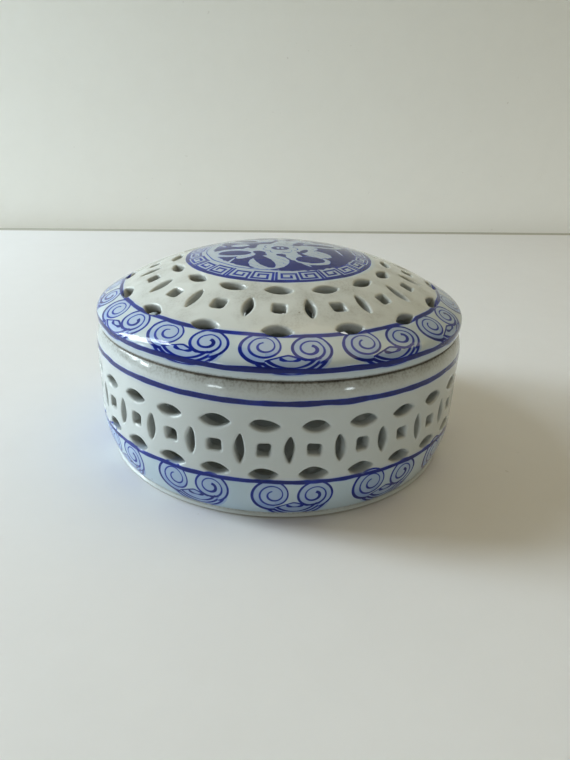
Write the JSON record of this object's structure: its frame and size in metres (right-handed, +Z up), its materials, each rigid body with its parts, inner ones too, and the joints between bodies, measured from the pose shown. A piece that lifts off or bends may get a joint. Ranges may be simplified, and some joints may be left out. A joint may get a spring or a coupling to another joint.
{
  "type": "lidded trinket box",
  "caption": "Round porcelain trinket box with coin-pattern pierced wall and a domed, pierced lid that lifts off its collar.",
  "frame": {"origin": "middle of the foot ring's underside, on the surface that the box stands on", "axes": "+Z up along the box's axis, the side seen in the picture faces -Y, +X to the right of it"},
  "size_m": [0.12, 0.12, 0.0648],
  "materials": {
    "bowl_porcelain": "glossy bluish-white glaze with cobalt lines and scroll clouds",
    "lid_porcelain": "glossy bluish-white glaze with cobalt lines, scroll clouds and a round flower medallion"
  },
  "bodies": {
    "bowl": {"bowl": "bowl_porcelain"},
    "lid": {"lid": "lid_porcelain"}
  },
  "joints": [
    {"name": "lid_lift", "type": "slide", "parent": "bowl", "child": "lid", "axis": [0, 0, 1], "range_m": [0, 0.06]}
  ]
}
